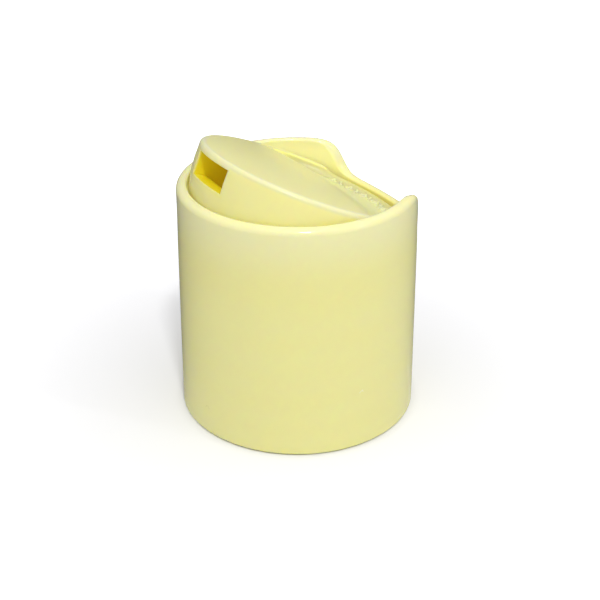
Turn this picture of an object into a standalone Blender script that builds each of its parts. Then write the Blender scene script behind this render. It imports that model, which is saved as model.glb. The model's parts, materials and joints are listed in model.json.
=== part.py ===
"""Disc top cap: a screw-on dispensing closure for a 24-410 bottle neck, with its tilting disc open.

Two mouldings.  The cap body is an outer skirt with a bore for the bottle's neck, a plug seal, and
a round well whose rim has a thumb notch.  The disc fills the well and rocks on two trunnions.
Pressing its dished back edge lifts its front, where the spout slot is.  A curved shoe under the
disc slides over a curved seat in the well, both centred on the hinge axis.  Open, the inlet in
the shoe stands over the orifice.  Closed, the solid part of the shoe covers it.

Frame: metres, +Z up, origin at the middle of the base, +X towards the thumb notch, hinge along Y.
Heights inside the disc are measured from the hinge axis, with the disc closed.
"""

import math

import bmesh
import bpy
from mathutils import Vector

MM = 0.001

# Driving dimensions of the cap body
HEIGHT = 27.7 * MM
TOP_RADIUS = 13.5 * MM
DRAFT = 0.26 * MM
RIM_WALL = 1.23 * MM
RIM_OUTER_ROUND = 0.75 * MM
RIM_INNER_ROUND = 0.30 * MM
BASE_ROUND = 0.30 * MM
WELL_DEPTH = 9.0 * MM
WELL_CORNER = 0.60 * MM
DECK_THICKNESS = 1.5 * MM
SKIRT_WALL = 1.35 * MM
BORE_LEAD_IN = 0.45 * MM
BORE_TOP_CORNER = 0.50 * MM

# Thumb notch in the rim
NOTCH_DEPTH = 5.1 * MM
NOTCH_HALF_WIDTH = 8.09 * MM
NOTCH_FLOOR_RADIUS = 25.0 * MM
NOTCH_SIDE_SOFTNESS = 0.45 * MM
PLAIN_WALL_BELOW_NOTCH = 1.8 * MM

# Plug seal under the deck
NECK_ROOM = 3.75 * MM
PLUG_WALL = 0.9 * MM
PLUG_DEPTH = 2.8 * MM
PLUG_LEAD_IN = 0.35 * MM

# Hinge
HINGE_DEPTH = 1.5 * MM
OPEN_ANGLE = math.radians(23.8)
TRUNNION_RADIUS = 0.60 * MM
TRUNNION_REACH = 0.75 * MM
TRUNNION_ROOT = 0.70 * MM
CLEARANCE = 0.30 * MM
SIDE_GAP = 0.20 * MM

# Disc
DISC_PROUD = 0.45 * MM
DISC_EDGE_ROUND = 0.45 * MM
DISC_DEPTH = 7.5 * MM
DISC_WALL = 1.1 * MM
PLATE_THICKNESS = 0.85 * MM
BACK_THICKNESS = 2.7 * MM
STEP_X = 1.2 * MM
SKIRT_END_X = 2.2 * MM
SKIRT_END_DEPTH = 0.8 * MM
SKIRT_END_RUN = 0.4 * MM
SKIRT_SLOPE_X = -4.0 * MM

# Finger dish in the disc's back half, with a bowed crest and a thin lip left standing round it
DISH_START_X = 2.7 * MM
DISH_FLOOR_X = 9.7 * MM
DISH_DEPTH = 1.15 * MM
DISH_BOW_RADIUS = 30.0 * MM
CREST_SHARE = 0.32
LIP_WALL = 0.50 * MM
LIP_FOOT_ROUND = 0.75 * MM
LIP_FOOT_SUNK = 0.06 * MM
LIP_DROP = 0.55 * MM
LIP_DROP_HALF_WIDTH = 7.95 * MM
LIP_DROP_SOFTNESS = 0.22 * MM

# Spout slot, chamber, shoe and seat
SLOT_HALF_WIDTH = 3.35 * MM
SLOT_TOP = 0.75 * MM
SLOT_HEIGHT = 2.7 * MM
SLOT_LENGTH = 2.3 * MM
CHAMBER_DEPTH = 4.1 * MM
CHAMBER_END_X = 0.9 * MM
DUCT_WALL = 0.9 * MM
DUCT_INTO_PLATE = 0.10 * MM
DUCT_INSET = 0.45 * MM
SHOE_RADIUS = 6.3 * MM
SHOE_HALF_WIDTH = 3.0 * MM
SHOE_BACK = math.radians(10.0)
SHOE_FRONT = math.radians(52.0)
INLET_ANGLE = math.radians(10.0)
INLET_RADIUS = 1.3 * MM
SEAT_BACK = math.radians(9.0)
SEAT_FRONT = math.radians(46.0)
SEAT_WALL = 0.90 * MM
SEAT_SIDE = 0.40 * MM

# Stops in the well
STOP_LENGTH = 2.6 * MM
STOP_HALF_WIDTH = 4.0 * MM
REST_X = -8.9 * MM
REST_Y = 3.6 * MM
REST_SIZE = 1.4 * MM

# Facets
BODY_COLUMNS = 140
DISC_COLUMNS = 120
ROD_COLUMNS = 28
ROUND_STEPS = 4
SMALL_ROUND_STEPS = 3
ARC_STEPS = 14
BOW_STEPS = 24
BALL_STEPS = 6
SHARP_ABOVE = math.radians(35.0)

# How far joined pieces run into each other, and cutting pieces run past what they cut
OVERLAP = 0.5 * MM
CUT_PAST = 2.0 * MM
SKIM = 0.01 * MM

# Dyed polypropylene
PALE_YELLOW = (0.86, 0.80, 0.36)
GLOSS_ROUGHNESS = 0.28

# Sizes that follow from the driving dimensions
BASE_RADIUS = TOP_RADIUS + DRAFT
BORE_RADIUS = TOP_RADIUS - SKIRT_WALL
PLUG_RADIUS = BORE_RADIUS - NECK_ROOM
WELL_RADIUS = TOP_RADIUS - RIM_WALL
DECK_Z = HEIGHT - WELL_DEPTH
HINGE_Z = HEIGHT - HINGE_DEPTH
DISC_RADIUS = WELL_RADIUS - SIDE_GAP
DISC_TOP = HINGE_DEPTH + DISC_PROUD
DISC_BOTTOM = HINGE_DEPTH - DISC_DEPTH
BACK_UNDER = HINGE_DEPTH - BACK_THICKNESS
ROUND_INSET = DISC_EDGE_ROUND * (1.0 - math.sqrt(0.5))
SWING_RADIUS = math.hypot(DISC_RADIUS - ROUND_INSET, DISC_TOP - ROUND_INSET)
SEAT_RADIUS = SHOE_RADIUS + CLEARANCE
HERE = ((0.0, 0.0, 0.0), 0.0)
ON_HINGE = ((0.0, 0.0, HINGE_Z), 0.0)
TILTED = ((0.0, 0.0, HINGE_Z), OPEN_ANGLE)


def soft_step(y, half_width, softness):
    """One in the middle and zero outside the half width, with soft sides."""
    return 1.0 / (1.0 + math.exp((abs(y) - half_width) / softness))


def notch_drop(y):
    """How far the rim sinks at a sideways distance y from the middle of the thumb notch."""
    floor = max(NOTCH_DEPTH - y * y / (2.0 * NOTCH_FLOOR_RADIUS), 0.0)
    return floor * soft_step(y, NOTCH_HALF_WIDTH, NOTCH_SIDE_SOFTNESS)


def lip_drop(y):
    """How far the disc's lip sinks behind the thumb notch."""
    return LIP_DROP * soft_step(y, LIP_DROP_HALF_WIDTH, LIP_DROP_SOFTNESS)


def even_angles(count):
    """Equal steps round a full turn."""
    return [2.0 * math.pi * index / count for index in range(count)]


def quarter_round(centre, radius, start, end, steps=ROUND_STEPS):
    """Points of an arc in a profile plane, from one angle to another in degrees."""
    points = []
    for step in range(steps + 1):
        angle = math.radians(start + (end - start) * step / steps)
        points.append((centre[0] + radius * math.cos(angle), centre[1] + radius * math.sin(angle)))
    return points


def make_object(name, verts, faces, location, tilt):
    """Build one closed mesh object from points and faces, with its faces pointing out."""
    mesh = bpy.data.meshes.new(name)
    mesh.from_pydata([tuple(v) for v in verts], [], faces)
    bm = bmesh.new()
    bm.from_mesh(mesh)
    bmesh.ops.recalc_face_normals(bm, faces=bm.faces)
    bm.to_mesh(mesh)
    bm.free()
    obj = bpy.data.objects.new(name, mesh)
    bpy.context.collection.objects.link(obj)
    obj.location = location
    obj.rotation_euler = (0.0, tilt, 0.0)
    return obj


def revolve(name, rows, angles, place, drop=notch_drop):
    """Turn rows of (radius, z, share of the drop followed) round Z into a closed body.

    The rows are one closed section.  A row of radius zero is a single point on the axis.
    """
    verts = []
    starts = []
    for radius, z, follow in rows:
        starts.append(len(verts))
        if radius == 0.0:
            verts.append((0.0, 0.0, z))
            continue
        for angle in angles:
            x = radius * math.cos(angle)
            y = radius * math.sin(angle)
            sunk = drop(y) * follow if x > 0.0 else 0.0
            verts.append((x, y, z - sunk))
    faces = []
    columns = len(angles)
    for index in range(len(rows)):
        following = (index + 1) % len(rows)
        if rows[index][0] == 0.0 and rows[following][0] == 0.0:
            continue
        for column in range(columns):
            beside = (column + 1) % columns
            if rows[index][0] == 0.0:
                faces.append((starts[index], starts[following] + column, starts[following] + beside))
            elif rows[following][0] == 0.0:
                faces.append((starts[index] + column, starts[index] + beside, starts[following]))
            else:
                faces.append((starts[index] + column, starts[index] + beside,
                              starts[following] + beside, starts[following] + column))
    return make_object(name, verts, faces, *place)


def close_prism(name, verts, count, place):
    """Join copies of an outline, given one after the other, into a closed body."""
    last = len(verts) - count
    faces = [tuple(range(count)), tuple(range(last, last + count))]
    for start in range(0, last, count):
        for index in range(count):
            beside = (index + 1) % count
            faces.append((start + index, start + beside,
                          start + count + beside, start + count + index))
    return make_object(name, verts, faces, *place)


def extrude_sideways(name, outline, half_width, place, middle=0.0):
    """Extrude an outline of (x, z) points along Y, to both sides of the middle."""
    verts = [(x, middle - half_width, z) for x, z in outline]
    verts += [(x, middle + half_width, z) for x, z in outline]
    return close_prism(name, verts, len(outline), place)


def extrude_bowed(name, outline, half_width, bow_radius, place):
    """Extrude an outline of (x, z) points along Y, and bow it so that its sides fall back."""
    verts = []
    for step in range(BOW_STEPS + 1):
        y = half_width * (2.0 * step / BOW_STEPS - 1.0)
        verts += [(x - y * y / (2.0 * bow_radius), y, z) for x, z in outline]
    return close_prism(name, verts, len(outline), place)


def rod(name, start, end, radius, place):
    """A straight round rod between two points."""
    start = Vector(start)
    end = Vector(end)
    turn = (end - start).to_track_quat("Z", "Y")
    verts = []
    for point in (start, end):
        for angle in even_angles(ROD_COLUMNS):
            verts.append(point + turn @ Vector((radius * math.cos(angle), radius * math.sin(angle), 0.0)))
    return close_prism(name, verts, ROD_COLUMNS, place)


def combine(target, tool, operation):
    """Cut, join or intersect the target with a tool, which isn't part of the model itself."""
    modifier = target.modifiers.new(tool.name, "BOOLEAN")
    modifier.operation = operation
    modifier.solver = "EXACT"
    modifier.object = tool
    tool.hide_render = True
    tool.display_type = "WIRE"


def plastic(name):
    """Glossy dyed polypropylene."""
    material = bpy.data.materials.new(name)
    material.use_nodes = True
    shader = material.node_tree.nodes["Principled BSDF"]
    shader.inputs["Base Color"].default_value = (*PALE_YELLOW, 1.0)
    shader.inputs["Roughness"].default_value = GLOSS_ROUGHNESS
    shader.inputs["Metallic"].default_value = 0.0
    return material


def notch_angles(count):
    """Steps round a full turn that are closer together where the notch sides are steep."""
    fine_steps = 2400
    middle_radius = TOP_RADIUS - RIM_WALL / 2.0
    steepness = 1.5
    lengths = [0.0]
    previous = 0.0
    for step in range(1, fine_steps + 1):
        angle = -math.pi + 2.0 * math.pi * step / fine_steps
        drop = notch_drop(middle_radius * math.sin(angle)) if abs(angle) < math.pi / 2.0 else 0.0
        run = middle_radius * 2.0 * math.pi / fine_steps
        lengths.append(lengths[-1] + math.hypot(run, steepness * (drop - previous)))
        previous = drop
    angles = []
    step = 0
    for index in range(count):
        wanted = lengths[-1] * index / count
        while lengths[step + 1] < wanted:
            step += 1
        share = (wanted - lengths[step]) / (lengths[step + 1] - lengths[step])
        angles.append(-math.pi + 2.0 * math.pi * (step + share) / fine_steps)
    return angles


def outer_radius(z):
    """Radius of the outer wall, which tapers a little towards the rim."""
    return BASE_RADIUS - DRAFT * z / HEIGHT


def body_section():
    """The cap body's closed section, from the base up the outside, over the rim and back below."""
    below_notch = HEIGHT - NOTCH_DEPTH - PLAIN_WALL_BELOW_NOTCH
    outer_edge = HEIGHT - RIM_OUTER_ROUND
    inner_edge = HEIGHT - RIM_INNER_ROUND
    underside = DECK_Z - DECK_THICKNESS
    rows = [(BASE_RADIUS - BASE_ROUND, 0.0, 0.0)]
    rows.append((outer_radius(BASE_ROUND), BASE_ROUND, 0.0))
    rows.append((outer_radius(below_notch), below_notch, 0.0))
    rows.append((outer_radius(outer_edge), (below_notch + outer_edge) / 2.0, 0.5))
    rim = quarter_round((TOP_RADIUS - RIM_OUTER_ROUND, outer_edge), RIM_OUTER_ROUND, 0.0, 90.0)
    rim += quarter_round((WELL_RADIUS + RIM_INNER_ROUND, inner_edge), RIM_INNER_ROUND, 90.0, 180.0,
                         SMALL_ROUND_STEPS)
    rows += [(radius, z, 1.0) for radius, z in rim]
    rows.append((WELL_RADIUS, (below_notch + inner_edge) / 2.0, 0.5))
    rows.append((WELL_RADIUS, below_notch, 0.0))
    corner = (WELL_RADIUS - WELL_CORNER, DECK_Z + WELL_CORNER)
    well_corner = quarter_round(corner, WELL_CORNER, 0.0, -90.0, SMALL_ROUND_STEPS)
    rows += [(radius, z, 0.0) for radius, z in well_corner]
    rows.append((0.0, DECK_Z, 0.0))
    rows.append((0.0, underside, 0.0))
    rows.append((PLUG_RADIUS - PLUG_WALL, underside, 0.0))
    rows.append((PLUG_RADIUS - PLUG_WALL, underside - PLUG_DEPTH, 0.0))
    rows.append((PLUG_RADIUS - PLUG_LEAD_IN, underside - PLUG_DEPTH, 0.0))
    rows.append((PLUG_RADIUS, underside - PLUG_DEPTH + 2.0 * PLUG_LEAD_IN, 0.0))
    rows.append((PLUG_RADIUS, underside, 0.0))
    rows.append((BORE_RADIUS - BORE_TOP_CORNER, underside, 0.0))
    rows.append((BORE_RADIUS, underside - BORE_TOP_CORNER, 0.0))
    rows.append((BORE_RADIUS, BORE_LEAD_IN, 0.0))
    rows.append((BORE_RADIUS + BORE_LEAD_IN, 0.0, 0.0))
    return rows


def on_hinge_arc(radius, angle):
    """A point (x, z) below the hinge axis, at an angle from straight down towards the front."""
    return (-radius * math.sin(angle), -radius * math.cos(angle))


def hinge_arc(radius, back, front):
    """Points of an arc round the hinge axis, from behind it to in front of it."""
    points = []
    for step in range(ARC_STEPS + 1):
        points.append(on_hinge_arc(radius, -back + (front + back) * step / ARC_STEPS))
    return points


def seat_outline():
    """The raised seat in the well: a hollow arc round the hinge axis, standing on the deck."""
    arc = hinge_arc(SEAT_RADIUS, SEAT_BACK, SEAT_FRONT)
    back_x, back_z = arc[0]
    front_x, front_z = arc[-1]
    foot = DECK_Z - HINGE_Z - DECK_THICKNESS / 2.0
    return arc + [(front_x - SEAT_WALL, front_z), (front_x - SEAT_WALL, foot),
                  (back_x + SEAT_WALL, foot), (back_x + SEAT_WALL, back_z)]


def open_height(x, z):
    """Height from the hinge axis, once the disc is open, of a point of the closed disc."""
    return z * math.cos(OPEN_ANGLE) - x * math.sin(OPEN_ANGLE)


def box_outline(x_from, x_to, z_from, z_to):
    """An upright rectangle of (x, z) points."""
    return [(x_from, z_from), (x_to, z_from), (x_to, z_to), (x_from, z_to)]


def build_body():
    """The cap body, with the seat, the stops, the orifice and the trunnion sockets."""
    body = revolve("cap_body", body_section(), notch_angles(BODY_COLUMNS), HERE)

    seat = extrude_sideways("seat_tool", seat_outline(), SHOE_HALF_WIDTH + SEAT_SIDE, ON_HINGE)
    combine(body, seat, "UNION")

    stop_top = HINGE_Z + open_height(DISC_RADIUS, BACK_UNDER) - CLEARANCE
    stop = box_outline(WELL_RADIUS - STOP_LENGTH, WELL_RADIUS + OVERLAP, DECK_Z - OVERLAP, stop_top)
    combine(body, extrude_sideways("stop_tool", stop, STOP_HALF_WIDTH, HERE), "UNION")

    rest_top = HINGE_Z + DISC_BOTTOM - CLEARANCE
    rest = box_outline(REST_X - REST_SIZE, REST_X + REST_SIZE, DECK_Z - OVERLAP, rest_top)
    for side in (-1, 1):
        combine(body, extrude_sideways("rest_tool", rest, REST_SIZE / 2.0, HERE, side * REST_Y), "UNION")

    orifice_x = on_hinge_arc(SEAT_RADIUS, INLET_ANGLE + OPEN_ANGLE)[0]
    orifice = rod("orifice_tool", (orifice_x, 0.0, DECK_Z - DECK_THICKNESS - CUT_PAST),
                  (orifice_x, 0.0, HINGE_Z), INLET_RADIUS, HERE)
    combine(body, orifice, "DIFFERENCE")

    socket_end = DISC_RADIUS + TRUNNION_REACH + CLEARANCE
    sockets = rod("socket_tool", (0.0, -socket_end, HINGE_Z), (0.0, socket_end, HINGE_Z),
                  TRUNNION_RADIUS + CLEARANCE, HERE)
    combine(body, sockets, "DIFFERENCE")
    return body


def drum_radius(z):
    """Radius of the disc's side: upright near the hinge, then a ball round the hinge below it."""
    ball = math.sqrt(max(SWING_RADIUS ** 2 - z * z, 0.0))
    return min(DISC_RADIUS, ball)


def drum_side(inset, bottom):
    """The side of the drum, from where the ball starts down to the bottom, moved in by the inset.

    Where the ball is the smaller of the two all the way, it starts level with the hinge.
    """
    ball_start = -math.sqrt(max(SWING_RADIUS ** 2 - DISC_RADIUS ** 2, 0.0))
    rows = []
    for step in range(BALL_STEPS + 1):
        z = ball_start + (bottom - ball_start) * step / BALL_STEPS
        rows.append((drum_radius(z) - inset, z, 0.0))
    return rows


def disc_section():
    """Half section of the solid disc.  Its rounded top edge follows the lip's drop at the back."""
    lip_inside = DISC_RADIUS - LIP_WALL
    rows = [(0.0, DISC_TOP, 0.0), (lip_inside - 2.0 * DISC_EDGE_ROUND, DISC_TOP, 0.0)]
    rows.append((lip_inside - DISC_EDGE_ROUND / 4.0, DISC_TOP, 1.0))
    centre = (DISC_RADIUS - DISC_EDGE_ROUND, DISC_TOP - DISC_EDGE_ROUND)
    rows += [(radius, z, 1.0) for radius, z in quarter_round(centre, DISC_EDGE_ROUND, 90.0, 0.0)]
    rows += drum_side(0.0, DISC_BOTTOM)
    rows.append((0.0, DISC_BOTTOM, 0.0))
    return rows


def hollow_section():
    """Half section of the space inside the disc's front half, open at the bottom."""
    top = DISC_TOP - PLATE_THICKNESS
    bottom = DISC_BOTTOM - CUT_PAST
    rows = [(0.0, top, 0.0), (DISC_RADIUS - DISC_WALL, top, 0.0)]
    rows += drum_side(DISC_WALL, bottom)
    rows.append((0.0, bottom, 0.0))
    return rows


def dish_outline():
    """Section of the finger dish: a rounded crest that runs on into a wide hollow arc."""
    run = DISH_FLOOR_X - DISH_START_X
    slope = 2.0 * math.atan(DISH_DEPTH / run)
    both_radii = run / math.sin(slope)
    crest_radius = CREST_SHARE * both_radii
    dish_radius = both_radii - crest_radius
    floor = DISC_TOP - DISH_DEPTH
    far_x = DISC_RADIUS + 2.0 * CUT_PAST
    above = DISC_TOP + CUT_PAST
    outline = [(DISH_START_X, DISC_TOP + SKIM)]
    for step in range(1, ARC_STEPS):
        angle = slope * step / ARC_STEPS
        outline.append((DISH_START_X + crest_radius * math.sin(angle),
                        DISC_TOP - crest_radius * (1.0 - math.cos(angle))))
    end = math.asin((far_x - DISH_FLOOR_X) / dish_radius)
    for step in range(2 * ARC_STEPS + 1):
        angle = -slope + (end + slope) * step / (2 * ARC_STEPS)
        outline.append((DISH_FLOOR_X + dish_radius * math.sin(angle),
                        floor + dish_radius * (1.0 - math.cos(angle))))
    return outline + [(far_x, above), (DISH_START_X, above)]


def shoe_outline():
    """The shoe under the disc: a sector whose curved end is centred on the hinge axis."""
    arc = hinge_arc(SHOE_RADIUS, SHOE_BACK, SHOE_FRONT)
    root = DISC_TOP - SLOT_TOP - CHAMBER_DEPTH - DUCT_WALL / 2.0
    return arc + [(arc[-1][0], root), (arc[0][0], root)]


def relieve_back(disc):
    """Cut the disc's back half thinner, and slope the skirt up to it."""
    below = DISC_BOTTOM - CUT_PAST
    wide = 2.0 * DISC_RADIUS
    skirt_end = BACK_UNDER - SKIRT_END_DEPTH
    slope = (skirt_end - DISC_BOTTOM) / (SKIRT_END_X - SKIRT_SLOPE_X)
    outline = [(SKIRT_SLOPE_X - OVERLAP, DISC_BOTTOM - slope * OVERLAP), (SKIRT_END_X, skirt_end),
               (SKIRT_END_X + SKIRT_END_RUN, BACK_UNDER), (wide, BACK_UNDER),
               (wide, below), (SKIRT_SLOPE_X - OVERLAP, below)]
    combine(disc, extrude_sideways("relief_tool", outline, wide, TILTED), "DIFFERENCE")


def hollow_front(disc, angles):
    """Hollow the disc's front half from below, as far back as the step."""
    hollow = revolve("hollow_tool", hollow_section(), angles, TILTED)
    behind = box_outline(STEP_X, 2.0 * DISC_RADIUS, DISC_BOTTOM - 2.0 * CUT_PAST, DISC_TOP)
    combine(hollow, extrude_sideways("behind_tool", behind, 2.0 * DISC_RADIUS, TILTED), "DIFFERENCE")
    combine(disc, hollow, "DIFFERENCE")


def add_duct(disc, angles):
    """The box under the plate that leads the liquid to the slot, with the shoe below it.

    Its front end is trimmed to the curve of the disc's side, inside the thickness of the wall.
    """
    top = DISC_TOP - SLOT_TOP + DUCT_INTO_PLATE
    bottom = DISC_TOP - SLOT_TOP - CHAMBER_DEPTH - DUCT_WALL
    outline = box_outline(-DISC_RADIUS - CUT_PAST, CHAMBER_END_X + DUCT_WALL, bottom, top)
    duct = extrude_sideways("duct_tool", outline, SLOT_HALF_WIDTH + DUCT_WALL, TILTED)
    low = bottom - OVERLAP
    core = [(0.0, DISC_TOP, 0.0), (DISC_RADIUS - DUCT_INSET, DISC_TOP, 0.0)]
    core += drum_side(DUCT_INSET, low)
    core.append((0.0, low, 0.0))
    combine(duct, revolve("core_tool", core, angles, TILTED), "INTERSECT")
    combine(duct, extrude_sideways("shoe_tool", shoe_outline(), SHOE_HALF_WIDTH, TILTED), "UNION")
    combine(disc, duct, "UNION")


def cut_passage(disc):
    """The way through the disc: the inlet in the shoe, the chamber and the slot."""
    top = DISC_TOP - SLOT_TOP
    sill = top - SLOT_HEIGHT
    floor = top - CHAMBER_DEPTH
    mouth_x = -DISC_RADIUS - CUT_PAST
    chamber_x = -DISC_RADIUS + SLOT_LENGTH
    outline = [(mouth_x, top), (CHAMBER_END_X, top), (CHAMBER_END_X, floor),
               (chamber_x, floor), (chamber_x, sill), (mouth_x, sill)]
    passage = extrude_sideways("passage_tool", outline, SLOT_HALF_WIDTH, TILTED)
    inlet_x, inlet_z = on_hinge_arc(SHOE_RADIUS + CUT_PAST / 2.0, INLET_ANGLE)
    inlet = rod("inlet_tool", (inlet_x, 0.0, inlet_z), (0.0, 0.0, top - CHAMBER_DEPTH / 2.0),
                INLET_RADIUS, TILTED)
    combine(passage, inlet, "UNION")
    combine(disc, passage, "DIFFERENCE")


def lip_section():
    """Section of the ring that the dish leaves: upright inside, and rounded at its foot."""
    inside = DISC_RADIUS - LIP_WALL
    floor = DISC_TOP - DISH_DEPTH - LIP_FOOT_SUNK
    low = BACK_UNDER - CUT_PAST
    high = DISC_TOP + 2.0 * CUT_PAST
    centre = (inside - LIP_FOOT_ROUND, floor + LIP_FOOT_ROUND)
    rows = [(centre[0], low, 0.0)]
    foot = quarter_round(centre, LIP_FOOT_ROUND, -90.0, 0.0, BALL_STEPS)
    rows += [(radius, z, 0.0) for radius, z in foot]
    return rows + [(inside, high, 0.0), (2.0 * DISC_RADIUS, high, 0.0), (2.0 * DISC_RADIUS, low, 0.0)]


def cut_dish(disc, angles):
    """Press the dish into the back half, but leave the lip standing round the edge."""
    dish = extrude_bowed("dish_tool", dish_outline(), DISC_RADIUS + CUT_PAST, DISH_BOW_RADIUS, TILTED)
    combine(dish, revolve("lip_tool", lip_section(), angles, TILTED), "DIFFERENCE")
    combine(disc, dish, "DIFFERENCE")


def build_disc():
    """The tilting disc in its open position, with its origin on the hinge axis."""
    angles = even_angles(DISC_COLUMNS)
    disc = revolve("disc", disc_section(), angles, TILTED, lip_drop)
    relieve_back(disc)
    hollow_front(disc, angles)
    add_duct(disc, angles)
    cut_passage(disc)
    cut_dish(disc, angles)
    for side in (-1, 1):
        root = (0.0, side * (DISC_RADIUS - TRUNNION_ROOT), 0.0)
        tip = (0.0, side * (DISC_RADIUS + TRUNNION_REACH), 0.0)
        combine(disc, rod("trunnion_tool", root, tip, TRUNNION_RADIUS, TILTED), "UNION")
    return disc


def main():
    for obj in list(bpy.data.objects):
        bpy.data.objects.remove(obj, do_unlink=True)
    body = build_body()
    body.data.materials.append(plastic("body_plastic"))
    disc = build_disc()
    disc.data.materials.append(plastic("disc_plastic"))
    for obj in (body, disc):
        obj.data.shade_smooth()
        obj.data.set_sharp_from_angle(angle=SHARP_ABOVE)
    bpy.context.view_layer.update()


main()
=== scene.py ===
# %% [markdown]
# A disc top cap, open.
# The cap is two mouldings of dyed polypropylene: a body that screws onto a bottle, and a disc that
# rocks in the body's round well.  The model already has both at their true size, so this lesson gives
# them their finish, adds the small raised forms, and sets up the light and the camera.
# Everything is in metres, with the cap standing on z = 0 and the thumb notch towards +X.

# %% Load the cap
import json
import math

import bmesh
import bpy
from mathutils import Matrix, Vector


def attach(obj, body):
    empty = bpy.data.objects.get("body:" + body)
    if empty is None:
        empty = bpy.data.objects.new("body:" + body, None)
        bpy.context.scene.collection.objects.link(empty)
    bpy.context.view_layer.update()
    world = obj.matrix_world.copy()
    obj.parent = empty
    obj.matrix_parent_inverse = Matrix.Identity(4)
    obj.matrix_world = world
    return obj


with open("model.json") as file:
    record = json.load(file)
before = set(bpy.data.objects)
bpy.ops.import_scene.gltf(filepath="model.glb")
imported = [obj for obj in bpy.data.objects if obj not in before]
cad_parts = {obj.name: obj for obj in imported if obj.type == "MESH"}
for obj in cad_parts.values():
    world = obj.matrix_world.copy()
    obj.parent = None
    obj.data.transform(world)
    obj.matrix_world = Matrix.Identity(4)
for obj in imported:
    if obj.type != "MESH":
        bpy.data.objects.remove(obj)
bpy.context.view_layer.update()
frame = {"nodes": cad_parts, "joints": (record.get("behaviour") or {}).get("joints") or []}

cap_body = frame["nodes"]["cap_body"]
disc = frame["nodes"]["disc"]

# %% [markdown]
# The hinge.
# The disc rocks on two small pins, on a line along Y.  It was modelled closed and then tilted open.
# The places of small things on it could be written down for the open disc, but they are easier to
# think about on the closed one.  So the hinge's height and the opening angle are read from the joint
# that comes with the model, and one matrix carries a closed place to its open place.

# %% Where the disc is
MM = 0.001
hinge = frame["joints"][0]
HINGE = Vector(hinge["pos_m"])
TILT = -math.radians(hinge["range_deg"][0])
CLOSED_TO_OPEN = Matrix.Translation(HINGE) @ Matrix.Rotation(TILT, 4, "Y")
print("hinge height mm", round(HINGE.z * 1000, 2), "open by", round(math.degrees(TILT), 1), "degrees")

# %% [markdown]
# A way to write shader maths.
# A material is a web of nodes.  It could be drawn by hand in the editor, or built link by link, but
# long webs are hard to read as code.  The first class wraps an output socket, so that sums on it add
# Math nodes and read like plain arithmetic.  The last makes every other node: it takes the node's
# type, its settings, and the values or links of its sockets.

# %% Sockets in sums
class Term:
    """An output socket that can be used in arithmetic."""

    def __init__(self, recipe, socket):
        self.recipe = recipe
        self.socket = socket

    def math(self, operation, first, second=None):
        sockets = {0: first} if second is None else {0: first, 1: second}
        return self.recipe.node("ShaderNodeMath", {"operation": operation}, sockets)[0]

    def __add__(self, other):
        return self.math("ADD", self, other)

    def __sub__(self, other):
        return self.math("SUBTRACT", self, other)

    def __rsub__(self, other):
        return self.math("SUBTRACT", other, self)

    def __mul__(self, other):
        return self.math("MULTIPLY", self, other)

    __radd__ = __add__
    __rmul__ = __mul__

    def root(self):
        return self.math("SQRT", self)

    def size(self):
        return self.math("ABSOLUTE", self)

    def wave(self):
        return self.math("SINE", self)

    def clipped(self):
        return self.math("MAXIMUM", self.math("MINIMUM", self, 1.0), 0.0)


print("sums on sockets ready")

# %% One method for every other node
class Outputs:
    """A node's outputs, by name or number, each as a Term."""

    def __init__(self, recipe, node):
        self.recipe = recipe
        self.made = node

    def __getitem__(self, key):
        return Term(self.recipe, self.made.outputs[key])


class Recipe:
    """A new material, or the world, and the one method that adds nodes to it."""

    def __init__(self, owner):
        owner.use_nodes = True
        self.tree = owner.node_tree
        self.tree.nodes.clear()

    def node(self, kind, settings=None, sockets=None):
        made = self.tree.nodes.new(kind)
        for name, value in (settings or {}).items():
            setattr(made, name, value)
        for key, value in (sockets or {}).items():
            if isinstance(value, Term):
                self.tree.links.new(value.socket, made.inputs[key])
            else:
                made.inputs[key].default_value = value
        return Outputs(self, made)


print("node method ready")

# %% [markdown]
# Masks and measures.
# Most finishes here are masks: how far a point is inside the well, above the deck, or near an edge.
# A hard step would leave a visible line, so each mask climbs softly between two ends, and the ends
# are always written as a pair.

# %% Masks and measures
def ramp(recipe, value, ends):
    """Zero before the first end and one after the second, with a soft climb between."""
    return recipe.node("ShaderNodeMapRange", {"interpolation_type": "SMOOTHSTEP"},
                       {"Value": value, "From Min": ends[0], "From Max": ends[1]})["Result"]


def mix_colours(recipe, share, first, second):
    """A colour between two colours or links."""
    return recipe.node("ShaderNodeMix", {"data_type": "RGBA"}, {"Factor": share, 6: first, 7: second})[2]


def split(recipe, vector):
    parts = recipe.node("ShaderNodeSeparateXYZ", None, {"Vector": vector})
    return parts["X"], parts["Y"], parts["Z"]


def reach_along(recipe, vector, direction):
    """How far a vector reaches in a direction."""
    return recipe.node("ShaderNodeVectorMath", {"operation": "DOT_PRODUCT"},
                       {0: vector, 1: direction})["Value"]


def round_middle(value, half_width):
    """The two ends of a short climb round a value."""
    return (value - half_width, value + half_width)


print("masks ready")

# %% [markdown]
# The plastic's colours.
# Dyed polypropylene is glossy but a little milky.  Light goes a short way in and comes out warmer, so
# thin walls and inside corners look a deeper yellow than the open surface.  One colour and a long
# light path could give this, but it needs many bounces.  So subsurface scattering does most of it, and
# the rest is painted into the colour by masks, as painted shade and painted glow where a few bounces
# fall short, most of all inside the slot.

# %% Two yellows of the open surface
PALE_YELLOW = (0.875, 0.845, 0.400, 1.0)
WARM_YELLOW = (0.865, 0.815, 0.330, 1.0)
print("the surface lies between", PALE_YELLOW[:3], "and", WARM_YELLOW[:3])

# %% [markdown]
# The skin of a moulding.
# The mould's polish isn't perfect.  The melt leaves faint flow marks, the gloss drifts a little, and a
# ripple far too shallow to see by itself breaks up the reflections.  Real displacement would need a
# very fine mesh for it, so the ripple goes through a Bump node, and the drift through the roughness.

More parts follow.
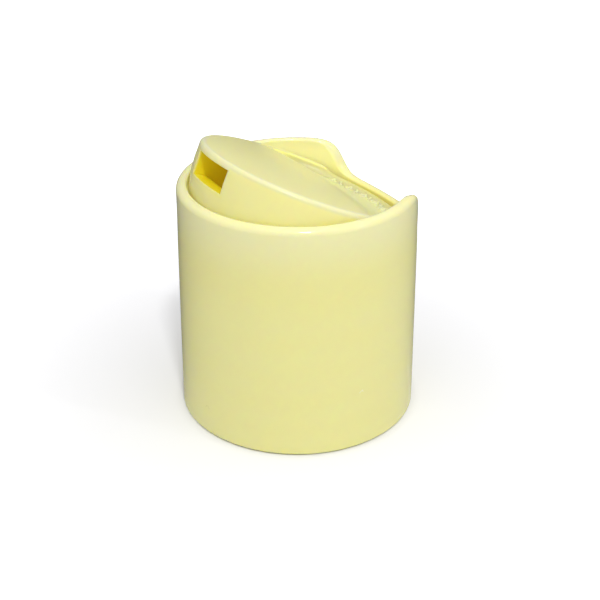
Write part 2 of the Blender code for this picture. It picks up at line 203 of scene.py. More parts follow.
# %% Flow marks
RIPPLE_SIZE = 1.6 * MM
RIPPLE_HEIGHT = 0.0035 * MM
FLOW_SIZE = 9.0 * MM
NOISE_DETAIL = 2.0
NOISE_FALL = 0.5


def noise(recipe, place, size):
    """Soft noise whose waves are about as long as the size."""
    return recipe.node("ShaderNodeTexNoise", None, {
        "Vector": place, "Scale": 1.0 / size, "Detail": NOISE_DETAIL, "Roughness": NOISE_FALL,
    })["Fac"]


print("ripple", RIPPLE_SIZE / MM, "mm long and", RIPPLE_HEIGHT / MM, "mm high")

# %% Skin
PLASTIC_IOR = 1.49
SCATTER_SHARES = (1.0, 0.85, 0.25)


def plastic_skin(recipe, colour, glow, scatter, gloss, height=None):
    """The shader of one moulding, from its colour, its painted glow, how far light goes inside it, and
    its range of roughness.
    """
    place = recipe.node("ShaderNodeTexCoord")["Object"]
    drift = noise(recipe, place, FLOW_SIZE)
    ripple = noise(recipe, place, RIPPLE_SIZE) * RIPPLE_HEIGHT
    relief = ripple if height is None else ripple + height
    bump = recipe.node("ShaderNodeBump", None, {"Strength": 1.0, "Distance": 1.0, "Height": relief})
    shader = recipe.node("ShaderNodeBsdfPrincipled", {"subsurface_method": "RANDOM_WALK"}, {
        "Base Color": colour,
        "Roughness": gloss[0] + (gloss[1] - gloss[0]) * drift,
        "Normal": bump["Normal"],
        "Subsurface Weight": 1.0,
        "Subsurface Radius": SCATTER_SHARES,
        "Subsurface Scale": scatter,
        "Emission Color": glow,
        "Emission Strength": 1.0,
        "IOR": PLASTIC_IOR,
    })["BSDF"]
    recipe.node("ShaderNodeOutputMaterial", None, {"Surface": shader})


print("light goes furthest in red, by shares", SCATTER_SHARES)

# %% [markdown]
# Scuffs.
# The wall has three small scuffs: a pale hooked tick beside a shallow dent, a thin dark arc and a pale
# dash.  They could be painted on an image, but a few strokes don't need one.  Each is placed by its
# turn round the wall and its height, in flat coordinates laid on the wall at that place.

# %% Strokes on the wall
SIDE_FADE = (0.0, 1.0 * MM)
STROKE_FULL_TO = 0.6


def on_wall(recipe, place, spot):
    """Distances along and up the wall from a spot, and one on the side where the spot is."""
    turn = math.radians(spot[0])
    tangent = (math.cos(turn), math.sin(turn), 0.0)
    outwards = (math.sin(turn), -math.cos(turn), 0.0)
    along = reach_along(recipe, place, tangent)
    up = split(recipe, place)[2] - spot[1]
    return along, up, ramp(recipe, reach_along(recipe, place, outwards), SIDE_FADE)


def stroke(recipe, along, up, shape):
    """One inside a short stroke, given by its lean, half its length and half its width."""
    lean = math.radians(shape[0])
    half_length, half_width = shape[1:]
    length = math.cos(lean) * along + math.sin(lean) * up
    width = math.cos(lean) * up - math.sin(lean) * along
    in_length = 1.0 - ramp(recipe, length.size(), (STROKE_FULL_TO * half_length, half_length))
    in_width = 1.0 - ramp(recipe, width.size(), (0.0, half_width))
    return in_length * in_width


print("strokes are full over", STROKE_FULL_TO, "of their length")

# %% The tick and its dent
SCUFF_PALE = (0.930, 0.920, 0.700, 1.0)
TICK_SPOT = (1.9, 7.28 * MM)
TICK = (35.0, 0.34 * MM, 0.09 * MM)
HOOK = (-60.0, 0.20 * MM, 0.09 * MM)
HOOK_AWAY = (0.22 * MM, 0.02 * MM)
TICK_SHARE = 0.85
DENT_AWAY = (-0.5 * MM, -0.4 * MM)
DENT_REACH = 0.95 * MM
DENT_DEPTH = 0.030 * MM


def ticked(recipe, place, colour):
    """The wall's colour with the tick, and the height of the dent beside it."""
    along, up, here = on_wall(recipe, place, TICK_SPOT)
    tick = stroke(recipe, along, up, TICK)
    hook = stroke(recipe, along - HOOK_AWAY[0], up - HOOK_AWAY[1], HOOK)
    share = TICK_SHARE * here * (tick + hook).clipped()
    beside = along - DENT_AWAY[0]
    above = up - DENT_AWAY[1]
    to_dent = (beside * beside + above * above).root()
    dent = -DENT_DEPTH * here * (1.0 - ramp(recipe, to_dent, (0.0, DENT_REACH)))
    return mix_colours(recipe, share, colour, SCUFF_PALE), dent


print("dent", DENT_DEPTH / MM, "mm deep")

# %% The arc and the dash
SCUFF_DARK = (0.700, 0.650, 0.280, 1.0)
ARC_SPOT = (-77.3, 3.38 * MM)
ARC_RADIUS = 0.28 * MM
ARC_RISE = 0.25 * MM
ARC = (90.0, 0.30 * MM, 0.07 * MM)
ARC_SHARE = 0.6
DASH_SPOT = (30.2, 0.83 * MM)
DASH = (8.0, 0.5 * MM, 0.07 * MM)
DASH_SHARE = 0.7


def scratched(recipe, place, colour):
    """The wall's colour with the arc and the dash."""
    along, up, here = on_wall(recipe, place, ARC_SPOT)
    to_middle = (along * along + up * up).root()
    arc = stroke(recipe, to_middle - ARC_RADIUS, up - ARC_RISE, ARC)
    colour = mix_colours(recipe, ARC_SHARE * here * arc, colour, SCUFF_DARK)
    along, up, here = on_wall(recipe, place, DASH_SPOT)
    dash = stroke(recipe, along, up, DASH)
    return mix_colours(recipe, DASH_SHARE * here * dash, colour, SCUFF_PALE)


print("scuffs at turns", TICK_SPOT[0], ARC_SPOT[0], DASH_SPOT[0], "degrees from the front")

# %% [markdown]
# The body's finish.
# Seen closely, the wall isn't one tone.  The skirt is painted lighter than the thin wall above the deck,
# and the thread inside is painted on as faint bands that climb with it, as painted light showing
# through the wall.  Near the rim the wall is painted a paler yellow, as a painted sheen from the light
# above.  Inside the well the colour is painted deeper downwards, as painted shade, and the gap round
# the disc has a painted glow with light that came through the rim.  Real translucency would have to
# pass two walls for this, so height and radius stand in for it.

# %% Tone of the wall
# Painted sheen: near the rim the wall turns towards this paler yellow, for the light from above.
RIM_PAINTED_SHEEN = (0.885, 0.860, 0.485, 1.0)
DECK_HEIGHT = 18.7 * MM
SKIRT_FADE = (DECK_HEIGHT - 1.0 * MM, DECK_HEIGHT + 0.6 * MM)
RIM_SHEEN_FADE = (21.0 * MM, 27.0 * MM)
BAND_PITCH = 3.6 * MM
WARM_BASE = 0.34
WARM_BY_FLOW = 0.30
# Painted light showing through the wall: the skirt is paler, and bands along the thread are deeper.
SKIRT_PAINTED_LIGHT = 0.16
THREAD_PAINTED_BANDS = 0.05


def wall_tone(recipe, place):
    """The colour of the outer wall, from the base to the rim, with painted light through the skirt,
    painted bands along the thread and a painted sheen near the rim.
    """
    x, y, z = split(recipe, place)
    turn = recipe.node("ShaderNodeMath", {"operation": "ARCTAN2"}, {0: y, 1: x})[0]
    full_turn = 2.0 * math.pi
    band = ((z - turn * (BAND_PITCH / full_turn)) * (full_turn / BAND_PITCH)).wave()
    skirt = 1.0 - ramp(recipe, z, SKIRT_FADE)
    flow = noise(recipe, place, FLOW_SIZE)
    warm = WARM_BASE + WARM_BY_FLOW * flow - SKIRT_PAINTED_LIGHT * skirt + THREAD_PAINTED_BANDS * skirt * band
    wall = mix_colours(recipe, warm.clipped(), PALE_YELLOW, WARM_YELLOW)
    return mix_colours(recipe, ramp(recipe, z, RIM_SHEEN_FADE), wall, RIM_PAINTED_SHEEN)


print("bands", BAND_PITCH / MM, "mm apart below", DECK_HEIGHT / MM, "mm")

# %% Body plastic
# Painted shade: inside the well the colour turns towards this deeper yellow near the bottom.
WELL_SHADE_YELLOW = (0.900, 0.830, 0.200, 1.0)
NO_LIGHT = (0.0, 0.0, 0.0, 1.0)
# Painted glow in the gap round the disc, for light that came through the rim, weaker behind.
GAP_LIGHT = (0.150, 0.130, 0.040, 1.0)
WELL_FADE = round_middle(12.45 * MM, 0.15 * MM)
WELL_SHADE_FADE = (19.0 * MM, 24.5 * MM)
BODY_GAP_FADE = (26.2 * MM, 27.4 * MM)
BACK_FADE = (1.0 * MM, 5.0 * MM)
BACK_GAP_SHARE = 0.50
BODY_SCATTER = 0.45 * MM
BODY_GLOSS = (0.11, 0.17)


def make_body_plastic():
    material = bpy.data.materials.new("body_plastic_with_painted_light")
    recipe = Recipe(material)
    place = recipe.node("ShaderNodeTexCoord")["Object"]
    x, y, z = split(recipe, place)
    inside = 1.0 - ramp(recipe, (x * x + y * y).root(), WELL_FADE)
    # Painted shade, deeper towards the bottom of the well.
    deep = 1.0 - ramp(recipe, z, WELL_SHADE_FADE)
    colour = mix_colours(recipe, inside * deep, wall_tone(recipe, place), WELL_SHADE_YELLOW)
    # Painted glow low in the well round the disc, weaker towards the back.
    low = 1.0 - ramp(recipe, z, BODY_GAP_FADE)
    ahead = 1.0 - (1.0 - BACK_GAP_SHARE) * ramp(recipe, x, BACK_FADE)
    glow = mix_colours(recipe, inside * low * ahead, NO_LIGHT, GAP_LIGHT)
    colour, dent = ticked(recipe, place, colour)
    colour = scratched(recipe, place, colour)
    plastic_skin(recipe, colour, glow, BODY_SCATTER, BODY_GLOSS, dent)
    return material


body_plastic = make_body_plastic()
print("body roughness from", BODY_GLOSS[0], "to", BODY_GLOSS[1])

# %% [markdown]
# The disc's finish.
# The disc's top was polished less than the rim, so the low reflection of the studio behind it stays
# soft.  It is also crowned by a hair, too little to see as a form, and that spreads the reflection.
# The masks could be fitted to the tilted disc, but they would have to be fitted again for another
# tilt.  So each point is turned back about the hinge first, and the masks are worked out there.

# %% A place on the closed disc
def closed_spot(recipe, place):
    """A point's place on the closed disc, with z from the hinge, and its distance from the middle."""
    closed = recipe.node("ShaderNodeVectorRotate", {"rotation_type": "Y_AXIS"},
                         {"Vector": place, "Center": HINGE, "Angle": -TILT})["Vector"]
    x, y, z = split(recipe, closed)
    return x, y, z - HINGE.z, (x * x + y * y).root()


print("masks are turned back by", round(math.degrees(TILT), 1), "degrees")

# %% [markdown]
# The top, the edge and the dish.
# The rounded edge is given a paler painted highlight, because light reaches it from two sides.  The
# finger dish scoops the top away towards the notch and ends at a lip.  Its floor faces up more than
# the top does, so it is painted lighter, and its thin lip is painted darker, as painted shade where it
# lets light through instead of sending it back.  Four materials with seams between them would be the
# plain way.  Masks are used, because the moulding has no seam.

# %% Tone of the disc
# Painted highlight on the rounded edge, painted light on the dish floor, painted shade on the lip.
EDGE_PAINTED_HIGHLIGHT = (0.800, 0.785, 0.480, 1.0)
DISH_PAINTED_LIGHT = (0.945, 0.915, 0.420, 1.0)
LIP_PAINTED_SHADE = (0.690, 0.665, 0.315, 1.0)
DISC_EDGE = 12.05 * MM
SIDE_WALL_FADE = (DISC_EDGE - 0.2 * MM, DISC_EDGE - 0.1 * MM)
EDGE_FADE = (11.2 * MM, 11.7 * MM)
EDGE_RISE = (1.2 * MM, 1.6 * MM)
DISH_RISE = (1.72 * MM, 1.93 * MM)
DISH_START = (2.2 * MM, 2.8 * MM)
LIP_FADE = (10.6 * MM, 11.3 * MM)
LIP_START = (3.0 * MM, 5.0 * MM)
LIP_RISE = (1.5 * MM, 1.8 * MM)
DISC_WARM_BASE = 0.25
DISC_WARM_BY_FLOW = 0.35


def disc_tone(recipe, place, x, z, across, side_wall):
    """The colour of the disc outside the slot, with a painted highlight on the edge, painted light on
    the dish floor and painted shade at the lip.
    """
    warm = DISC_WARM_BASE + DISC_WARM_BY_FLOW * noise(recipe, place, FLOW_SIZE)
    colour = mix_colours(recipe, warm, PALE_YELLOW, WARM_YELLOW)
    near_edge = ramp(recipe, across, EDGE_FADE) * ramp(recipe, z, EDGE_RISE)
    colour = mix_colours(recipe, near_edge, colour, EDGE_PAINTED_HIGHLIGHT)
    in_dish = (1.0 - ramp(recipe, z, DISH_RISE)) * ramp(recipe, x, DISH_START)
    colour = mix_colours(recipe, in_dish * (1.0 - side_wall), colour, DISH_PAINTED_LIGHT)
    at_lip = ramp(recipe, across, LIP_FADE) * ramp(recipe, x, LIP_START)
    below_top = 1.0 - ramp(recipe, z, LIP_RISE)
    return mix_colours(recipe, at_lip * below_top, colour, LIP_PAINTED_SHADE)


print("dish from", DISH_START[0] / MM, "mm behind the hinge")

# %% [markdown]
# Inside the slot.
# The spout's slot is a short tunnel.  Light that comes out of it has bounced off dyed plastic many
# times, so its walls go from yellow at the mouth to gold inside.  Many more bounces would show that
# and double the render's time.  A mask by distance from the disc's side wall paints it at once, as
# painted shade from yellow to gold with a faint painted glow.

# %% Depth in the slot
SLOT_CEILING = round_middle(1.55 * MM, 0.1 * MM)
SLOT_FRONT = round_middle(1.5 * MM, 0.3 * MM)
SLOT_REACH = (0.0, 1.6 * MM)
SLOT_SILL = (-2.1 * MM, -1.6 * MM)
SLOT_SIDE = (3.45 * MM, 3.95 * MM)
SKIN_FADE = (10.6 * MM, 11.0 * MM)
MOUTH_SPEED = 12.0


def slot_depth(recipe, x, y, z, across):
    """How deep in the slot a point is, from zero at the side wall, and one in front below the plate."""
    above_sill = ramp(recipe, z, SLOT_SILL)
    beside = 1.0 - ramp(recipe, y.size(), SLOT_SIDE)
    in_slot = (1.0 - (1.0 - above_sill) * ramp(recipe, across, SKIN_FADE)) * beside
    below_plate = 1.0 - ramp(recipe, z, SLOT_CEILING)
    in_front = 1.0 - ramp(recipe, x, SLOT_FRONT)
    return ramp(recipe, DISC_EDGE - across, SLOT_REACH) * in_slot, below_plate * in_front


print("gold from", SLOT_REACH[1] / MM, "mm inside the slot")

# %% Disc plastic
# Painted shade in the slot, from the mouth's yellow to gold inside, with a faint painted glow.
SLOT_MOUTH_PAINTED_SHADE = (0.880, 0.780, 0.040, 1.0)
SLOT_PAINTED_SHADE_GOLD = (0.930, 0.800, 0.020, 1.0)
SLOT_LIGHT = (0.040, 0.027, 0.001, 1.0)
CROWN_RADIUS = 110.0 * MM
DISC_GAP_FADE = (26.6 * MM, 27.6 * MM)
DISC_SCATTER = 0.80 * MM
DISC_GLOSS = (0.28, 0.34)


def make_disc_plastic():
    material = bpy.data.materials.new("disc_plastic_with_painted_light")
    recipe = Recipe(material)
    place = recipe.node("ShaderNodeTexCoord")["Object"]
    x, y, z, across = closed_spot(recipe, place)
    side_wall = ramp(recipe, across, SIDE_WALL_FADE)
    depth, below = slot_depth(recipe, x, y, z, across)
    outside = disc_tone(recipe, place, x, z, across, side_wall)
    # Painted shade: the slot's walls turn from yellow at the mouth to gold further in.
    mouth = mix_colours(recipe, (depth * MOUTH_SPEED).clipped() * below, outside, SLOT_MOUTH_PAINTED_SHADE)
    colour = mix_colours(recipe, depth * below, mouth, SLOT_PAINTED_SHADE_GOLD)
    # Painted glow low on the disc's side wall in the gap, in front, and inside the slot.
    low = 1.0 - ramp(recipe, split(recipe, place)[2], DISC_GAP_FADE)
    ahead = 1.0 - ramp(recipe, x, BACK_FADE)
    gap = mix_colours(recipe, low * side_wall * ahead, NO_LIGHT, GAP_LIGHT)
    glow = mix_colours(recipe, depth * below, gap, SLOT_LIGHT)
    crown = -1.0 / (2.0 * CROWN_RADIUS) * across * across
    plastic_skin(recipe, colour, glow, DISC_SCATTER, DISC_GLOSS, crown)
    return material


disc_plastic = make_disc_plastic()
print("disc roughness from", DISC_GLOSS[0], "to", DISC_GLOSS[1])

# %% Plastic on the mouldings
for node, material in ((cap_body, body_plastic), (disc, disc_plastic)):
    node.data.materials.clear()
    node.data.materials.append(material)
print("plastic on", cap_body.name, "and", disc.name)

# %% [markdown]
# Smooth mouldings.
# The mouldings come as loose triangles, which shade as facets.  Shading everything smooth would melt
# the crisp edges, where the mould's halves and inserts meet.  So the triangles are joined, every edge
# that turns by less than a set angle is shaded smooth, and the edges that stay get a very small
# rounding that catches the light.  Large faces then lead the shading, which keeps flat places flat.

# %% Join the triangles
SMOOTH_BELOW = math.radians(32.0)
JOIN_WITHIN = 0.002 * MM


def smoothing_steps():
    """Geometry nodes that join the triangles and mark the edges that stay sharp."""
    group = bpy.data.node_groups.new("join_and_smooth", "GeometryNodeTree")
    group.interface.new_socket("Geometry", in_out="INPUT", socket_type="NodeSocketGeometry")
    group.interface.new_socket("Geometry", in_out="OUTPUT", socket_type="NodeSocketGeometry")
    nodes = group.nodes
    links = group.links
    start = nodes.new("NodeGroupInput")
    end = nodes.new("NodeGroupOutput")
    plain = nodes.new("GeometryNodeRemoveAttribute")
    plain.inputs["Name"].default_value = "custom_normal"
    joined = nodes.new("GeometryNodeMergeByDistance")
    joined.inputs["Distance"].default_value = JOIN_WITHIN
    smooth = nodes.new("GeometryNodeSetShadeSmooth")
    crisp = nodes.new("GeometryNodeSetShadeSmooth")
    crisp.domain = "EDGE"
    angle = nodes.new("GeometryNodeInputMeshEdgeAngle")
    test = nodes.new("FunctionNodeCompare")
    test.operation = "LESS_THAN"
    test.inputs["B"].default_value = SMOOTH_BELOW
    links.new(start.outputs[0], plain.inputs["Geometry"])
    links.new(plain.outputs[0], joined.inputs["Geometry"])
    links.new(joined.outputs[0], smooth.inputs["Geometry"])
    links.new(smooth.outputs[0], crisp.inputs["Geometry"])
    links.new(angle.outputs["Unsigned Angle"], test.inputs["A"])
    links.new(test.outputs["Result"], crisp.inputs["Shade Smooth"])
    links.new(crisp.outputs[0], end.inputs[0])
    return group


steps = smoothing_steps()
print("edges that turn less than", round(math.degrees(SMOOTH_BELOW)), "degrees are smooth")

# %% Round the edges that stay
EDGE_ROUND = 0.07 * MM
EDGE_SEGMENTS = 2
FLAT_FACE_WEIGHT = 50


def round_edges(piece, width, segments):
    rounding = piece.modifiers.new("edge_round", "BEVEL")
    rounding.width = width
    rounding.segments = segments
    rounding.limit_method = "ANGLE"
    rounding.angle_limit = SMOOTH_BELOW


def smooth_moulding(node):
    joining = node.modifiers.new("join_and_smooth", "NODES")
    joining.node_group = steps
    round_edges(node, EDGE_ROUND, EDGE_SEGMENTS)
    shading = node.modifiers.new("flat_stays_flat", "WEIGHTED_NORMAL")
    shading.mode = "FACE_AREA"
    shading.keep_sharp = True
    shading.weight = FLAT_FACE_WEIGHT


for node in (cap_body, disc):
    smooth_moulding(node)
    bpy.context.view_layer.update()
    shown = node.evaluated_get(bpy.context.evaluated_depsgraph_get())
    print(node.name, "has", len(shown.data.polygons), "faces when shown")

# %% [markdown]
# The raised marks in the finger dish.
# The mould has small marks cut into it, which stand up from the floor of the dish in an arc along
# the lip and help the thumb to hold.  Here they are plain diamonds and bars.  They could be pressed
# into the floor by a bump, but they are tall enough to catch light on one side.  So each is a thin
# round cord, half sunk, whose points are dropped onto the floor by casting a ray down on the disc.

# %% Points on the dish floor
MARK_SUNK = 0.02 * MM
DROP_FROM = 5.0 * MM


def floor_point(radius, angle):
    """The point of the disc's surface below a place above the closed disc, sunk a little."""
    above = Vector((radius * math.cos(angle), radius * math.sin(angle), DROP_FROM))
    start = CLOSED_TO_OPEN @ above
    down = CLOSED_TO_OPEN.to_3x3() @ Vector((0.0, 0.0, -1.0))
    place, normal = disc.ray_cast(start, down)[1:3]
    return place - normal * MARK_SUNK


print("marks are sunk by", MARK_SUNK / MM, "mm")

# %% Cords from points
CORD_ROUNDNESS = 3


def add_object(name, data):
    """A new object in the scene, made of the data."""
    made = bpy.data.objects.new(name, data)
    bpy.context.scene.collection.objects.link(made)
    return made


def add_cord(data, points, closed):
    spline = data.splines.new("POLY")
    spline.points.add(len(points) - 1)
    for point, place in zip(spline.points, points):
        point.co = (*place, 1.0)
    spline.use_cyclic_u = closed


def cord_object(name, outlines, thickness):
    """One mesh object from several cords, each a list of points and whether it is closed."""
    data = bpy.data.curves.new(name, "CURVE")
    data.dimensions = "3D"
    data.bevel_depth = thickness
    data.bevel_resolution = CORD_ROUNDNESS
    data.use_fill_caps = True
    for points, closed in outlines:
        add_cord(data, points, closed)
    holder = add_object(name + "_curve", data)
    bpy.context.view_layer.update()
    shown = holder.evaluated_get(bpy.context.evaluated_depsgraph_get())
    mesh = bpy.data.meshes.new_from_object(shown)
    bpy.data.objects.remove(holder, do_unlink=True)
    mesh.name = name
    return add_object(name, mesh)


print("cords have", 2 * CORD_ROUNDNESS + 2, "sides")

# %% Outlines of the marks
MARK_RADIUS = 10.85 * MM
MARK_SPREAD = math.radians(36.0)
MARK_COUNT = 13
MARK_REACH = 0.52 * MM
MARK_HALF_WIDTH = math.radians(2.9)
MARK_STEPS = 4
DIAMOND = ((1.0, 0.0), (0.0, 1.0), (-1.0, 0.0), (0.0, -1.0), (1.0, 0.0))
BAR = ((-1.0, -0.5), (1.0, 0.5))


def mark_outline(number):
    """Diamonds and leaning bars by turns, with their points along the arc."""
    closed = number % 2 == 0
    corners = DIAMOND if closed else BAR
    middle = MARK_SPREAD * (2.0 * number / (MARK_COUNT - 1) - 1.0)
    count = MARK_STEPS if closed else MARK_STEPS + 1
    points = []
    for start, end in zip(corners, corners[1:]):
        for step in range(count):
            share = step / MARK_STEPS
            out, along = [a + (b - a) * share for a, b in zip(start, end)]
            points.append(floor_point(MARK_RADIUS + out * MARK_REACH, middle + along * MARK_HALF_WIDTH))
    return points, closed


print("marks", MARK_COUNT, "on a radius of", MARK_RADIUS / MM, "mm")

# %% Press marks
# Painted light: the marks get a paler yellow and a faint glow, so they read as lit strokes.
MARK_PAINTED_PALE = (0.840, 0.825, 0.440, 1.0)
MARK_LIGHT = (0.015, 0.015, 0.007, 1.0)
MARK_CORD = 0.14 * MM
MARK_SCATTER = 0.30 * MM
MARK_GLOSS = (0.28, 0.34)

mark_plastic = bpy.data.materials.new("mark_plastic_with_painted_light")
plastic_skin(Recipe(mark_plastic), MARK_PAINTED_PALE, MARK_LIGHT, MARK_SCATTER, MARK_GLOSS)
press_marks = cord_object("press_marks", [mark_outline(n) for n in range(MARK_COUNT)], MARK_CORD)
press_marks.data.materials.append(mark_plastic)
press_marks.data.shade_smooth()
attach(press_marks, "tilting_disc")
print("marks have", len(press_marks.data.polygons), "faces")

# %% [markdown]
# The thread in the bore.
# The skirt screws onto the bottle's neck.  The thread is one rib that climbs the bore, to the right,
# with its ends running out to nothing.  Its section is a trapezoid, wide at the wall and narrow at
# the crest, as a mould can release it.  A screw modifier would make a thread of one size from end to
# end, so the rings are placed one by one, and each can be lower than the last where it runs out.

# %% Rings of the thread
BORE_RADIUS = 12.15 * MM
THREAD_CREST = 11.30 * MM
THREAD_PITCH = 3.175 * MM
THREAD_TURNS = 1.75
THREAD_START = 3.0 * MM
THREAD_ROOT_HALF = 0.75 * MM
THREAD_CREST_HALF = 0.32 * MM
THREAD_SUNK = 0.10 * MM
THREAD_RUNOUT = 0.12
THREAD_LEAST = 0.02


def thread_ring(rib, turns):
    """Four corners of the thread's section after so many turns."""
    angle = 2.0 * math.pi * turns
    middle = THREAD_START + THREAD_PITCH * turns
    fade = min(1.0, turns / THREAD_RUNOUT, (THREAD_TURNS - turns) / THREAD_RUNOUT)
    fade = math.sqrt(max(fade, THREAD_LEAST))
    root = BORE_RADIUS + THREAD_SUNK
    crest = BORE_RADIUS - (BORE_RADIUS - THREAD_CREST) * fade
    section = [(root, -THREAD_ROOT_HALF * fade), (crest, -THREAD_CREST_HALF * fade),
               (crest, THREAD_CREST_HALF * fade), (root, THREAD_ROOT_HALF * fade)]
    ring = []
    for radius, rise in section:
        ring.append(rib.verts.new((radius * math.cos(angle), radius * math.sin(angle), middle + rise)))
    return ring


print("thread stands", round((BORE_RADIUS - THREAD_CREST) / MM, 2), "mm off the bore")

# %% Neck thread
THREAD_STEPS_PER_TURN = 96
THREAD_EDGE_ROUND = 0.12 * MM
THREAD_EDGE_SEGMENTS = 3


def thread_mesh():
    """The rings joined by faces, with both ends closed."""
    rib = bmesh.new()
    count = int(THREAD_STEPS_PER_TURN * THREAD_TURNS)
    rings = [thread_ring(rib, THREAD_TURNS * step / count) for step in range(count + 1)]
    for ring, following in zip(rings, rings[1:]):
        for corner in range(len(ring)):
            beside = (corner + 1) % len(ring)
            rib.faces.new((ring[corner], ring[beside], following[beside], following[corner]))
    rib.faces.new(rings[0])
    rib.faces.new(rings[-1])
    bmesh.ops.recalc_face_normals(rib, faces=rib.faces)
    mesh = bpy.data.meshes.new("neck_thread")
    rib.to_mesh(mesh)
    rib.free()
    return mesh


neck_thread = add_object("neck_thread", thread_mesh())
neck_thread.data.materials.append(body_plastic)
neck_thread.data.shade_smooth()
round_edges(neck_thread, THREAD_EDGE_ROUND, THREAD_EDGE_SEGMENTS)
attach(neck_thread, "cap")
print("thread from", THREAD_START / MM, "mm up,", THREAD_TURNS, "turns")

# %% [markdown]
# The floor and the backdrop.
# The cap stands on white.  A floor that only the lamps lit would be grey, and brighter lamps would
# wash out the cap, so the camera sees the floor a little brighter than it is, and plain white further
# out.  Close round the cap the lift is left out, so the lamps' light still sets the tone there and the
# shadow stays, with a painted shade round the foot.  The cap itself sees a darker floor, painted lit
# in front and dim behind, so its sides don't glow from below.

# %% Paint of the floor
WHITE = (1.0, 1.0, 1.0, 1.0)
FLOOR_COLOUR = (0.89, 0.89, 0.915, 1.0)
LIT_FLOOR = (0.70, 0.70, 0.70, 1.0)
DIM_FLOOR = (0.16, 0.16, 0.16, 1.0)
FRONT = (-0.35, -0.937, 0.0)
LIT_FADE = (-0.9, 0.5)
FLOOR_LIFT = 0.07
CONTACT_PAINTED_SHADE_FADE = (13.6 * MM, 15.0 * MM)
WHITE_FADE = (18.0 * MM, 120.0 * MM)


def make_floor_paint():
    material = bpy.data.materials.new("white_floor")
    recipe = Recipe(material)
    place = recipe.node("ShaderNodeTexCoord")["Object"]
    away = recipe.node("ShaderNodeVectorMath", {"operation": "LENGTH"}, {0: place})["Value"]
    outwards = recipe.node("ShaderNodeVectorMath", {"operation": "NORMALIZE"}, {0: place})["Vector"]
    # Painted light for what the cap sees: the floor is lit in front and dim behind.
    lit = ramp(recipe, reach_along(recipe, outwards, FRONT), LIT_FADE)
    to_camera = recipe.node("ShaderNodeLightPath")["Is Camera Ray"]
    bounce = mix_colours(recipe, lit, DIM_FLOOR, LIT_FLOOR)
    paint = mix_colours(recipe, to_camera, bounce, FLOOR_COLOUR)
    matt = recipe.node("ShaderNodeBsdfDiffuse", None, {"Color": paint})["BSDF"]
    # Painted shade: the lift is left out close round the cap's foot and climbs to white further out.
    near = FLOOR_LIFT * ramp(recipe, away, CONTACT_PAINTED_SHADE_FADE)
    lift = (near + (1.0 - FLOOR_LIFT) * ramp(recipe, away, WHITE_FADE)) * to_camera
    glow = recipe.node("ShaderNodeEmission", None, {"Color": WHITE, "Strength": lift})["Emission"]
    both = recipe.node("ShaderNodeAddShader", None, {0: matt, 1: glow})["Shader"]
    recipe.node("ShaderNodeOutputMaterial", None, {"Surface": both})
    return material


print("floor turns white from", WHITE_FADE[0] / MM, "to", WHITE_FADE[1] / MM, "mm out")

# %% Floor
FLOOR_SIZE = 3.0


def make_floor():
    mesh = bpy.data.meshes.new("floor")
    grid = bmesh.new()
    bmesh.ops.create_grid(grid, x_segments=1, y_segments=1, size=FLOOR_SIZE / 2.0)
    grid.to_mesh(mesh)
    grid.free()
    floor = add_object("floor", mesh)
    floor.data.materials.append(make_floor_paint())


make_floor()
print("floor", FLOOR_SIZE, "m across")

# %% [markdown]
# The studio round it.
# Gloss shows whatever stands round the object.  The disc's top is seen at a low angle, so it mirrors
# the horizon behind the cap, which was a dim part of the studio, while the rim mirrors the bright
# ceiling.  Panels could be modelled round the cap for that, but a sky that changes with direction
# does the same with no mesh: brighter overhead than at the horizon, and brighter in front than
# behind.  Only the camera, looking past the cap, sees plain white.

# %% World
HORIZON = 0.44
OVERHEAD = 1.0
DIM_BACK = 0.45
AMBIENT_SHARE = 0.95
CLIMB_FADE = (0.12, 0.70)
AHEAD_FADE = (-0.9, 0.1)


def make_world():
    world = bpy.data.worlds.new("studio")
    bpy.context.scene.world = world
    recipe = Recipe(world)
    direction = recipe.node("ShaderNodeTexCoord")["Generated"]
    climb = ramp(recipe, split(recipe, direction)[2], CLIMB_FADE)
    ahead = ramp(recipe, reach_along(recipe, direction, FRONT), AHEAD_FADE)
    high = OVERHEAD * (DIM_BACK + (1.0 - DIM_BACK) * ahead)
    look = HORIZON + (high - HORIZON) * climb
    path = recipe.node("ShaderNodeLightPath")
    mirrored = (path["Is Glossy Ray"] + path["Is Transmission Ray"]).clipped()
    light = look * (AMBIENT_SHARE + (1.0 - AMBIENT_SHARE) * mirrored)
    to_camera = path["Is Camera Ray"]
    level = light * (1.0 - to_camera) + to_camera
    glow = recipe.node("ShaderNodeBackground", None, {"Color": WHITE, "Strength": level})
    recipe.node("ShaderNodeOutputWorld", None, {"Surface": glow["Background"]})


make_world()
print("world from", HORIZON, "at the horizon to", OVERHEAD, "overhead")

# %% [markdown]
# The lamps.
# A small key lamp stands above the camera and makes the sharp glint on the front rim, with a smaller
# one on the right that gives the rim its second glint.  A wide, weak lamp overhead lifts the tops of
# the rims.  One large lamp would light the cap as evenly but leave no glint.  The walls that face the
# camera are the brightest part, and the disc's top, which leans away, is darker.

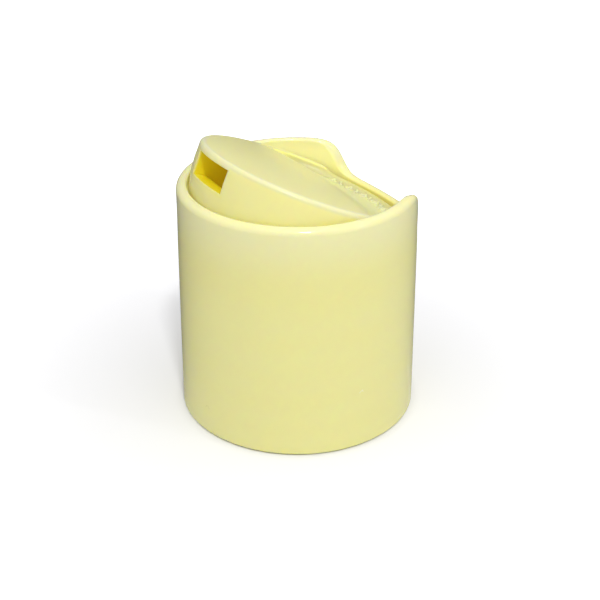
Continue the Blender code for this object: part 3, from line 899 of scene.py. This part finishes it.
# %% Places round the cap
def round_the_cap(turn, rise, distance):
    """A place round the cap, from its turn off the front and its rise, both in degrees."""
    turn = math.radians(turn)
    rise = math.radians(rise)
    flat = distance * math.cos(rise)
    return Vector((flat * math.sin(turn), -flat * math.cos(turn), distance * math.sin(rise)))


print("a metre in front of the cap is", tuple(round_the_cap(0.0, 0.0, 1.0)))

# %% Lamps
CAP_MIDDLE = Vector((0.0, 0.0, 0.016))
LAMP_DISTANCE = 0.50
LAMPS = (
    ("key", -20.0, 54.0, 0.04, 0.75),
    ("right", 35.0, 36.0, 0.02, 0.12),
    ("overhead", -10.0, 78.0, 0.35, 0.10),
)


def make_lamp(name, turn, rise, size, power):
    lamp = bpy.data.lights.new(name, "AREA")
    lamp.shape = "RECTANGLE"
    lamp.size = size
    lamp.size_y = size
    lamp.energy = power
    holder = add_object(name, lamp)
    holder.location = round_the_cap(turn, rise, LAMP_DISTANCE)
    aim = CAP_MIDDLE - holder.location
    holder.rotation_euler = aim.to_track_quat("-Z", "Y").to_euler()


for name, turn, rise, size, power in LAMPS:
    make_lamp(name, turn, rise, size, power)
    print(name, "lamp", size, "m wide,", power, "W")

# %% [markdown]
# The camera.
# It looks down at the cap by 28 degrees, from the side where the spout opens to the left and the
# thumb notch shows at the back right.  A wide lens close by would make the cap's sides lean.  The
# lens is long instead, so they stay nearly parallel.

# %% Camera
CAMERA_TURN = -29.0
CAMERA_RISE = 28.42
CAMERA_DISTANCE = 0.1470
CAMERA_TARGET = Vector((0.0, 0.0, 0.01242))
SENSOR = 36.0
LENS = 75.48
SHIFT = 0.0042
CLIP_START = 0.01

camera_data = bpy.data.cameras.new("camera")
camera_data.sensor_width = SENSOR
camera_data.lens = LENS
camera_data.shift_x = SHIFT
camera_data.clip_start = CLIP_START
camera = add_object("camera", camera_data)
away = round_the_cap(CAMERA_TURN, CAMERA_RISE, CAMERA_DISTANCE)
camera.location = CAMERA_TARGET + away
camera.rotation_euler = (-away).to_track_quat("-Z", "Y").to_euler()
bpy.context.scene.camera = camera
bpy.context.scene.view_settings.view_transform = "Standard"
print("camera at", tuple(round(v, 4) for v in camera.location))
